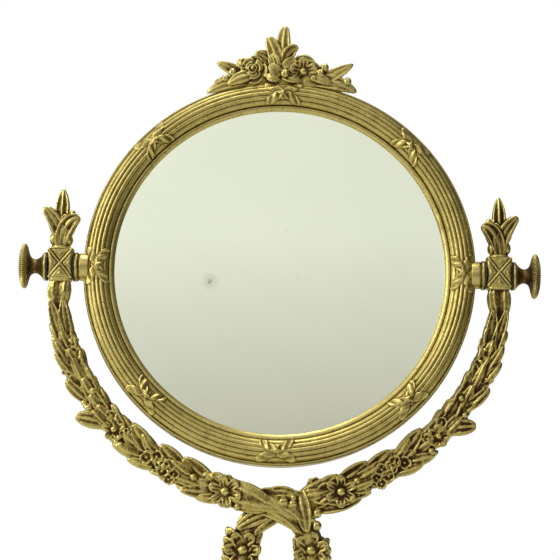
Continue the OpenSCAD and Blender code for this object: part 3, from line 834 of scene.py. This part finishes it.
# How far each point of such a leaf is beyond its depth.
CROSSING_BULGE = (-1.6, 2.2, 0.6)
CROSSING_BERRIES = (
    (4.4, -117.0, 2.6), (9.2, -117.8, 2.3), (9.6, -114.6, 1.6), (21.6, -122.2, 2.3), (21.4, -128.6, 2.4),
    (-19.0, -120.0, 1.8), (18.6, -125.4, 2.0),
)
CROSSING_MOUNDS = ((0.5, -116.2, 8.0, 3.6), (16.4, -121.0, 4.6, 6.4), (8, -114.0, 5.0, 3.4))
STRAND_FLOWERS = {
    LEFT: ((18.8, -141.0, 9.3), (15.0, -159.5, 6.8)),
    RIGHT: ((-15.8, -141.4, 9.4), (-14.4, -159.5, 6.8)),
}


def crossing(cast, side):
    """An arm's leaves at the crossing, and the flowers on the strand it runs into."""
    for base, middle, tip, width, depth, style in CROSSING_LEAVES[side]:
        path = [(x, -(depth + b), z) for (x, z), b in zip((base, middle, tip), CROSSING_BULGE)]
        leaf(cast, path, width, **style)
    if side == LEFT:
        for x, z, wide, high in CROSSING_MOUNDS:
            bud(cast, (x, -2.8, z), (wide, 3.6, high))
        for x, z, size in CROSSING_BERRIES:
            bud(cast, (x, -5.6, z), (size, size, size * 1.1), groove=0.15)
            bud(cast, (x, 4.6, z), (size, size, size), -FRONT)
    for face in (FRONT, -FRONT):
        for x, z, size in STRAND_FLOWERS[side]:
            rosette(cast, np.array((x, 0, z)) + face * 3.6, size, 6, 3.0, face, turn=0.35 + 0.2 * side,
                    dish=1.7)


# ---------- pivots ----------

KNURLS = 68
POINTS_PER_KNURL = 8


def boss(side):
    """The turned spool between the ring and the block, flanged where it meets the block."""
    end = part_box("right_pivot_boss")[1].x / MM
    profile = rounded([(0, RING_R - 2.6), (7.0, RING_R - 2.6), (7.0, RING_R + 1.4), (6.7, RING_R + 2.4),
                       (7.6, RING_R + 3.1), (7.6, end - 0.5), (7.1, end), (0, end)], 0.5, 5)
    cast = Casting()
    lathe(cast, profile, "X")
    cast.points[0] = cast.points[0] * (side, 1, 1)
    return turned(cast, HEAD)


def knob(side):
    """A waisted thumb knob with a milled rim and a slightly domed end."""
    start, end = KNOB_LOW[0], KNOB_HIGH[0]
    rim_r = KNOB_HIGH[2] - AXIS.z / MM
    length = end - start
    waist = [(7.3, 0.0), (7.3, 1.0), (6.2, 1.8), (4.7, 3.0), (3.7, 4.7), (3.6, 5.8), (4.0, 7.2), (5.2, 8.3),
             (8.0, 9.2), (10.3, 9.8), (rim_r, 10.6), (rim_r, 11.4), (10.9, 12.2), (9.5, 12.9),
             (7, length - 0.5), (3.5, length - 0.1)]
    profile = rounded([(0, 0)] + waist + [(0, length)], 0.6, 4)

    def milled(radius, height, phi):
        on_rim = np.clip((radius - 8.6) / 1.4, 0, 1) * (height > 9.9)
        teeth = np.abs(np.cos(KNURLS * phi / 2))**1.5
        return radius - 0.6 * on_rim * teeth, height - 0.25 * on_rim * teeth * (height > 12)

    cast = Casting()
    lathe(cast, profile, "X", KNURLS * POINTS_PER_KNURL, milled)
    cast.points[0] = (cast.points[0] + (start, 0, 0)) * (side, 1, 1)
    return turned(cast, STAND, 3, 8, gain=0.45)


# ---------- foot ----------

# Leaves of the dome, in two rows: how many, width, then base, middle and tip as (radius, height).
DOME_LEAVES = (
    (18, 14.5, ((20, 36.6), (33, 36.2), (47.6, 27.2))),
    (18, 9.0, ((12, 37.4), (20, 37.8), (31.5, 35.4))),
)
CUP_LEAVES = (
    (8, 9.4, ((8.6, 56.4), (14.2, 60.0), (16.4, 67.6))),
    (8, 7.6, ((8.6, 56.4), (13.2, 60.0), (14.2, 70.6))),
)


def spokes(count, offset=0.0):
    """Directions spread evenly about the vertical axis."""
    for k in range(count):
        a = TAU * k / count + offset
        yield np.array((math.cos(a), math.sin(a), 0))


def leaf_rows(cast, rows, face_of, **style):
    """Rings of leaves, each row half a step round from the one before."""
    for k, (count, width, path) in enumerate(rows):
        for spoke in spokes(count, k * math.pi / count):
            leaf(cast, [spoke * r + (0, 0, z) for r, z in path], width, face=face_of(spoke), **style)


def beads(cast, count, radius, height, radii):
    for spoke in spokes(count):
        bud(cast, spoke * radius + (0, 0, height), radii)


def plinth():
    """The reeded foot with ribbon ties, a cove above it and a row of beads."""
    s = np.linspace(0, 1, 61)
    reeds = np.stack([FOOT_R - 4.1 + 2.9 * crown(s), 5.9 + 9.6 * s, s], 1)
    low = rounded([(58, 1.0), (FOOT_R, 1.0), (FOOT_R, 4.9), (FOOT_R - 1, 5.7), (FOOT_R - 3.8, 5.8)], 0.7)
    cove = [(FOOT_R - 8.6 - 6.2 * math.sin(a), 22.6 - 6.2 * math.cos(a)) for a in np.linspace(0, 1.5, 14)]
    high = rounded([(FOOT_R - 3.9, 15.7), (FOOT_R - 4.6, 16.4)] + cove + [(51.2, 23.5), (44, 23.5)], 0.4)
    profile = with_reeds(low, reeds, high)
    phi = ring_angles()[None, :]
    radius, height, s = (profile[:, k:k + 1] + 0 * phi for k in range(3))
    out = outward(profile)
    middle_h, reach = 10.7, 4.8
    radius, height = reeded(radius, height, s, from_tie(phi) * FOOT_R + 0 * radius, height - middle_h, reach,
                            out[:, 0:1], out[:, 1:2], amount=0.55)
    radius = np.minimum(radius, FOOT_R)
    cast = Casting()
    cast.add(np.stack([radius * np.cos(phi), radius * np.sin(phi), height], -1))
    beads(cast, 96, 52.6, 23.0, (1.45, 1.45, 1.45))
    return turned(cast, TABLE, 3, 24)


def dome():
    """The foot's dome: two rings of lapped laurel leaves rising to the stem."""
    cast = Casting()
    lathe(cast, rounded([(0, 23.6), (50.8, 23.6), (50.8, 25.4), (49, 27), (46.5, 29.8), (41, 32.8),
                         (33, 35.2), (24, 36.8), (16, 37.6), (13.4, 38), (0, 38)], 1.2), around=160)
    leaf_rows(cast, DOME_LEAVES, lambda spoke: unit(spoke * 0.5 + UP), thick=1.4, dish=0.35, rib=0.7,
              rim=0.35, veins=5, full=0.6)
    return fused(cast, TABLE, DOME_VOXEL, seed=70)


def stem():
    cast = Casting()
    lathe(cast, rounded([(0, 38), (13, 38), (13, 40), (12.2, 41), (9.8, 42.2), (8.8, 44.6), (8.6, 46.4),
                         (11.0, 47.2), (11.6, 48.8), (11.0, 50.4), (8.4, 51.2), (7.4, 53), (8.6, 55.2),
                         (8.6, 56), (0, 56)], 0.8), around=256)
    beads(cast, 28, 11.2, 48.8, (1.2, 1.2, 1.5))
    return turned(cast, TABLE)


def leaf_cup():
    """The socket that holds the two strands, in a ring of curling leaves."""
    cast = Casting()
    lathe(cast, rounded([(0, 56), (8.9, 56), (11.6, 58.6), (12.6, 62), (12.4, 67), (0, 67)], 0.8), around=96)
    leaf_rows(cast, CUP_LEAVES, lambda spoke: spoke, ribs=2, dish=0.3, rib=0.6, full=0.55)
    return fused(cast, TABLE, FINE_VOXEL, seed=71)


# ---------- screws ----------

COVER_SCREW_RING_R = 90.25
COVER_BACK = -5.5
# A screw's head: radius, height over the cover.
SCREW_HEAD = ((0, 0), (1.7, 0), (1.65, 0.5), (1.0, 0.95), (0, 1.0))
HEAD_POINTS = 40


def cover_screws():
    """Round-headed slotted screws round the back cover."""
    slot_half, slot_floor = 0.3, COVER_BACK - 0.35
    cast = Casting()
    for k in range(6):
        a = math.radians(30 + 60 * k)
        head = rounded([(r, COVER_BACK - h) for r, h in SCREW_HEAD], 0.2)
        part = Casting()
        lathe(part, head, around=HEAD_POINTS)
        x, y, z = part.points[0].reshape(len(head), HEAD_POINTS, 3).transpose(2, 0, 1)
        slot = np.abs(x * math.cos(k) + y * math.sin(k)) < slot_half
        depth = np.where(slot & (z < COVER_BACK - 0.3), slot_floor, z)
        centre = COVER_SCREW_RING_R * np.array((math.cos(a), 0, -math.sin(a)))
        cast.add(np.stack([x, -depth, y], -1) + centre)
    return turned(cast, HEAD)


# ---------- materials ----------

def grey(value):
    return (value, value, value)


def feed(tree, made, inputs):
    """Sets or links a node's inputs, by name with _ for a space, or as i_0, i_1 and so on."""
    for key, value in inputs.items():
        socket = made.inputs[int(key[2:]) if key.startswith("i_") else key.replace("_", " ")]
        if isinstance(value, bpy.types.NodeSocket):
            tree.links.new(value, socket)
        else:
            socket.default_value = value


def node(tree, kind, settings=None, **inputs):
    made = tree.nodes.new(kind)
    for key, value in (settings or {}).items():
        setattr(made, key, value)
    feed(tree, made, inputs)
    return made


def noise(tree, where, scale, detail=4.0):
    made = node(tree, "ShaderNodeTexNoise", Vector=where, Scale=scale, Detail=detail, Roughness=0.55)
    return made.outputs[0]


def maths(tree, operation, a, b, clamp=False):
    return node(tree, "ShaderNodeMath", {"operation": operation, "use_clamp": clamp}, i_0=a, i_1=b).outputs[0]


def plus(tree, total, value, weight, middle=0.0, clamp=False):
    """A total plus a value's distance from its middle, times a weight."""
    if middle:
        value = maths(tree, "SUBTRACT", value, middle)
    return maths(tree, "ADD", total, maths(tree, "MULTIPLY", value, weight), clamp)


def blend_colours(tree, amount, a, b, how="MIX"):
    made = node(tree, "ShaderNodeMix", {"data_type": "RGBA", "blend_type": how}, i_0=amount, i_6=a, i_7=b)
    return made.outputs[2]


def ramp(tree, amount, *stops):
    """A colour or a grey level that follows an amount, from stops of place and value."""
    made = node(tree, "ShaderNodeValToRGB", Fac=amount)
    band = made.color_ramp
    while len(band.elements) < len(stops):
        band.elements.new(0.5)
    for element, (place, value) in zip(band.elements, stops):
        element.position = place
        element.color = (*(value if isinstance(value, tuple) else grey(value)), 1)
    return made.outputs[0]


def bumps(tree, height, strength, depth_mm):
    return node(tree, "ShaderNodeBump", Strength=strength, Distance=depth_mm * MM, Height=height).outputs[0]


def new_material(name):
    """A material, its node tree, and the object's own coordinates for its noise."""
    material = bpy.data.materials.new(name)
    material.use_nodes = True
    tree = material.node_tree
    return material, tree, node(tree, "ShaderNodeTexCoord").outputs["Object"]


def shade(tree, **inputs):
    feed(tree, tree.nodes["Principled BSDF"], inputs)


def gilt_material(name, dark=0.0, polish=0.0):
    """Old gilt brass: burnished high points, olive-gold flats, brown patina with painted shade in the
    hollows, fine pits.
    """
    material, tree, where = new_material(name)
    relief = node(tree, "ShaderNodeAttribute", {"attribute_name": "relief"}).outputs["Fac"]
    broad, middle, fine = (noise(tree, where, scale) for scale in (45, 260, 1500))
    # The relief attribute darkens the hollows: brown patina together with painted shade.
    wear_and_shade = plus(tree, relief, middle, 0.55, 0.5)
    # dark moves the whole finish down the ramp, darker all over; on the right-hand copy this is painted
    # shade.
    wear_and_shade = plus(tree, wear_and_shade, broad, 0.6, 0.5 + dark)
    wear_and_shade = plus(tree, wear_and_shade, fine, 0.25, 0.5, clamp=True)
    # Low on the ramp is the brown patina and painted shade of the hollows, high is the burnished high points.
    gold = ramp(tree, wear_and_shade, (0.06, (0.052, 0.028, 0.013)), (0.26, (0.18, 0.115, 0.036)),
                (0.43, (0.43, 0.335, 0.092)), (0.70, (0.58, 0.475, 0.150)), (1.00, (0.64, 0.535, 0.19)))
    pits = ramp(tree, noise(tree, where, 900, 2.0), (0.0, 0.0), (0.33, 0.0), (0.40, 1.0))
    height = maths(tree, "ADD", maths(tree, "MULTIPLY", fine, 0.5), maths(tree, "MULTIPLY", pits, 0.5))
    height = plus(tree, height, middle, 0.8)
    shade(tree, Base_Color=blend_colours(tree, 0.45, gold, pits, "MULTIPLY"), Metallic=1.0,
          Roughness=ramp(tree, wear_and_shade, (0.1, 0.60), (0.45, 0.42), (0.85, 0.34 - polish)),
          Normal=bumps(tree, height, 0.4, 0.2))
    return material


def plain_material(name, scale, rough, metallic, bump_mm, *colours):
    """A mottled finish for the smaller pieces, in two or three colours from dark to light."""
    material, tree, where = new_material(name)
    places = {2: (0.3, 0.7), 3: (0.2, 0.55, 0.85)}[len(colours)]
    grain = noise(tree, where, scale, 5.0)
    fine = noise(tree, where, scale * 6, 3.0)
    shade(tree, Base_Color=ramp(tree, grain, *zip(places, colours)), Metallic=metallic,
          Roughness=ramp(tree, grain, (0.2, rough[0]), (0.8, rough[1])),
          Normal=bumps(tree, fine, 0.6, bump_mm))
    return material


GLASS_SPOT = (-0.0354, 0, 0.234)


def mirror_material():
    """Old silvered glass with a faint green tint, specks of foxing and one small stain."""
    material, tree, where = new_material("old_mirror")
    axes = node(tree, "ShaderNodeSeparateXYZ", Vector=where)
    flat = node(tree, "ShaderNodeCombineXYZ", X=axes.outputs["X"], Y=0.0, Z=axes.outputs["Z"]).outputs[0]
    spot = node(tree, "ShaderNodeVectorMath", {"operation": "DISTANCE"}, i_0=flat, i_1=GLASS_SPOT)
    ragged = plus(tree, spot.outputs["Value"], noise(tree, where, 500), 0.004)
    stain = ramp(tree, maths(tree, "MULTIPLY", ragged, 100), (0.22, 1), (0.34, 0.35), (0.72, 0))
    specks = ramp(tree, noise(tree, where, 420, 1.0), (0.0, 1), (0.19, 1), (0.225, 0))
    haze = noise(tree, where, 14, 5.0)
    silver = ramp(tree, haze, (0.3, (0.83, 0.875, 0.705)), (0.7, (0.87, 0.91, 0.745)))
    marks = maths(tree, "MAXIMUM", maths(tree, "MULTIPLY", stain, 0.6), maths(tree, "MULTIPLY", specks, 0.16))
    rough = maths(tree, "ADD", maths(tree, "MULTIPLY", haze, 0.05), maths(tree, "MULTIPLY", marks, 0.3))
    shade(tree, Base_Color=blend_colours(tree, marks, silver, (0.20, 0.19, 0.15, 1)), Metallic=1.0,
          Roughness=rough)
    return material


def dress_nodes(names, material):
    """Gives CAD nodes that stay a better material."""
    for name in names:
        finish_with(frame["nodes"][name].data, material)


# ---------- stage ----------

def look_at(obj, target, roll=0.0):
    direction = Vector(target) - obj.location
    obj.rotation_euler = (direction.to_track_quat("-Z", "Y").to_matrix()
                          @ Matrix.Rotation(roll, 3, "Z")).to_euler()


def camera():
    """A long lens just below the level of the tilt axis, as in a catalogue view."""
    data = bpy.data.cameras.new("camera")
    made = add_object("camera", data)
    distance, elevation, roll = 1.2, math.radians(-4), math.radians(1.2)
    width_seen = 0.2856
    target = Vector((0.00025, 0, AXIS.z - 0.0044))
    data.sensor_width = 36
    data.lens = data.sensor_width * distance / width_seen
    made.location = target + distance * Vector((0, -math.cos(elevation), math.sin(elevation)))
    look_at(made, target, roll)
    bpy.context.scene.camera = made


def area_light(name, place, size, power):
    data = bpy.data.lights.new(name, "AREA")
    data.shape = "RECTANGLE"
    data.size, data.size_y = size
    data.energy = power
    made = add_object(name, data)
    made.location = place
    look_at(made, (0, 0, 0.22))


def studio():
    area_light("key_softbox", (-1.3, -1.0, 0.9), (0.9, 1.1), 11)
    area_light("left_strip", (-1.6, 0.1, 0.3), (0.3, 0.9), 6)
    area_light("top_light", (-0.2, 0.1, 1.6), (0.6, 0.6), 7)


def direction_ramp(tree, value, *stops):
    """A level that follows one component, -1 to 1, of the direction looked in. Each stop is the component,
    the level and how warm it is."""
    half = maths(tree, "MULTIPLY", value, 0.5)
    colours = [((v + 1) / 2, (level * (1 + warmth), level, level * (1 - 2 * warmth)))
               for v, level, warmth in stops]
    return ramp(tree, maths(tree, "ADD", half, 0.5), *colours)


def sky():
    """A room with a pale ceiling, lighter on the left. The backdrop behind the object stays white."""
    world = bpy.data.worlds.new("room")
    bpy.context.scene.world = world
    world.use_nodes = True
    tree = world.node_tree
    where = node(tree, "ShaderNodeTexCoord").outputs["Generated"]
    axes = node(tree, "ShaderNodeSeparateXYZ", Vector=where).outputs
    room = direction_ramp(tree, axes["Z"], (-1, 0.30, 0), (-0.2, 0.34, 0), (0.05, 0.20, 0.04),
                          (0.20, 0.35, 0.04), (0.28, 0.60, 0.03), (0.36, 0.95, 0.005), (0.5, 0.95, 0),
                          (1, 0.75, 0))
    sides = direction_ramp(tree, axes["X"], (-1, 1.0, 0), (-0.08, 1.0, 0), (0.08, 0.89, 0), (0.2, 0.86, 0),
                           (0.42, 0.38, 0), (1, 0.12, 0))
    back = direction_ramp(tree, axes["Y"], (-0.2, 1.0, 0), (0.3, 0.6, 0), (1, 0.6, 0))
    for factor in (sides, back):
        room = blend_colours(tree, 1.0, room, factor, "MULTIPLY")
    seen = node(tree, "ShaderNodeLightPath").outputs["Is Camera Ray"]
    feed(tree, tree.nodes["Background"], {"Color": blend_colours(tree, seen, room, (1, 1, 1, 1))})


def floor():
    cast = Casting()
    lathe(cast, [(0, -6), (1500, -6), (1500, 0), (0, 0)], around=96)
    material, tree, where = new_material("pale_floor")
    tone = ramp(tree, noise(tree, where, 6), (0.3, (0.80, 0.81, 0.78)), (0.7, (0.83, 0.84, 0.81)))
    shade(tree, Base_Color=tone, Roughness=0.9)
    mesh = cast.mesh(TABLE)
    finish_with(mesh, material)
    add_object("floor", mesh)


# ---------- assembly ----------

gilt = gilt_material("antique_gilt")
# A copy darker all over, for the spools and knobs.
gilt_knob = gilt_material("darker_pivot_gilt", dark=0.2)
gilt_garland = gilt_material("glossy_gilt", polish=0.1)
# A darker copy of the glossy gilt: painted shade for the right arm and finial, on the side away from the
# light.
gilt_shaded_right = gilt_material("right_shaded_gilt", dark=0.25, polish=0.1)
# A copy lighter all over, for the crest.
gilt_light = gilt_material("lighter_crest_gilt", dark=-0.14)

plain_brass = plain_material("aged_brass", 70, (0.5, 0.32), 1.0, 0.05, (0.24, 0.15, 0.05),
                             (0.50, 0.36, 0.13), (0.66, 0.51, 0.22))
cover_brass = plain_material("sheet_brass", 160, (0.46, 0.36), 1.0, 0.04, (0.36, 0.27, 0.095),
                             (0.46, 0.36, 0.13), (0.52, 0.41, 0.16))
steel = plain_material("dull_steel", 200, (0.55, 0.38), 1.0, 0.04, (0.30, 0.29, 0.28), (0.48, 0.47, 0.46))
card = plain_material("backing_board", 300, (0.9, 0.8), 0.0, 0.15, (0.30, 0.21, 0.12), (0.42, 0.31, 0.19))
leather = plain_material("dark_leather", 1200, (0.75, 0.6), 0.0, 0.12, (0.020, 0.012, 0.008),
                         (0.055, 0.035, 0.022))
felt = plain_material("green_baize", 900, (0.95, 0.85), 0.0, 0.4, (0.02, 0.07, 0.03), (0.05, 0.13, 0.06))
shade(felt.node_tree, Sheen_Weight=0.5)

show("ring_frame", mirror_ring(), gilt, "mirror_head", "mirror_frame")
show("crest_spray", crest(), gilt_light, "mirror_head", "frame_crest")
show("slotted_screws", cover_screws(), plain_brass, "mirror_head", "back_cover_screws", slot="plain_brass")
for side, word in SIDE_NAMES.items():
    # The right arm and finial take the darker copy, painted shade for the side away from the light.
    cast_gilt = gilt_garland if side == LEFT else gilt_shaded_right
    show(word + "_garland", arm(side), cast_gilt, "stand", word + "_garland_arm")
    show(word + "_block", block(side), gilt, "stand", word + "_pivot_block")
    show(word + "_finial", finial(side), cast_gilt, "stand", word + "_leaf_finial")
    show(word + "_spool", boss(side), gilt_knob, "mirror_head", word + "_pivot_boss")
    show(word + "_milled_knob", knob(side), gilt_knob, word + "_knob", word + "_thumb_knob")
show("reeded_foot", plinth(), gilt, "stand", "base_plinth")
show("leaf_dome", dome(), gilt, "stand", "base_dome")
show("beaded_stem", stem(), gilt, "stand", "base_stem")
show("leaf_cup", leaf_cup(), gilt, "stand", "socket_cup")

dress_nodes(["mirror_glass"], mirror_material())
dress_nodes(["back_cover"], cover_brass)
dress_nodes(["crossing_screw", "left_pivot_stud", "right_pivot_stud"], plain_brass)
dress_nodes(["base_plate", "tie_rod", "tie_washer", "tie_nut", "crest_screws"], steel)
dress_nodes(["backing_card"], card)
dress_nodes(["base_felt"], felt)
dress_nodes([f"{word}_{end}_washer" for word in SIDE_NAMES.values() for end in ("inner", "outer")], leather)

floor()
studio()
sky()
camera()
bpy.context.scene.view_settings.view_transform = "Standard"
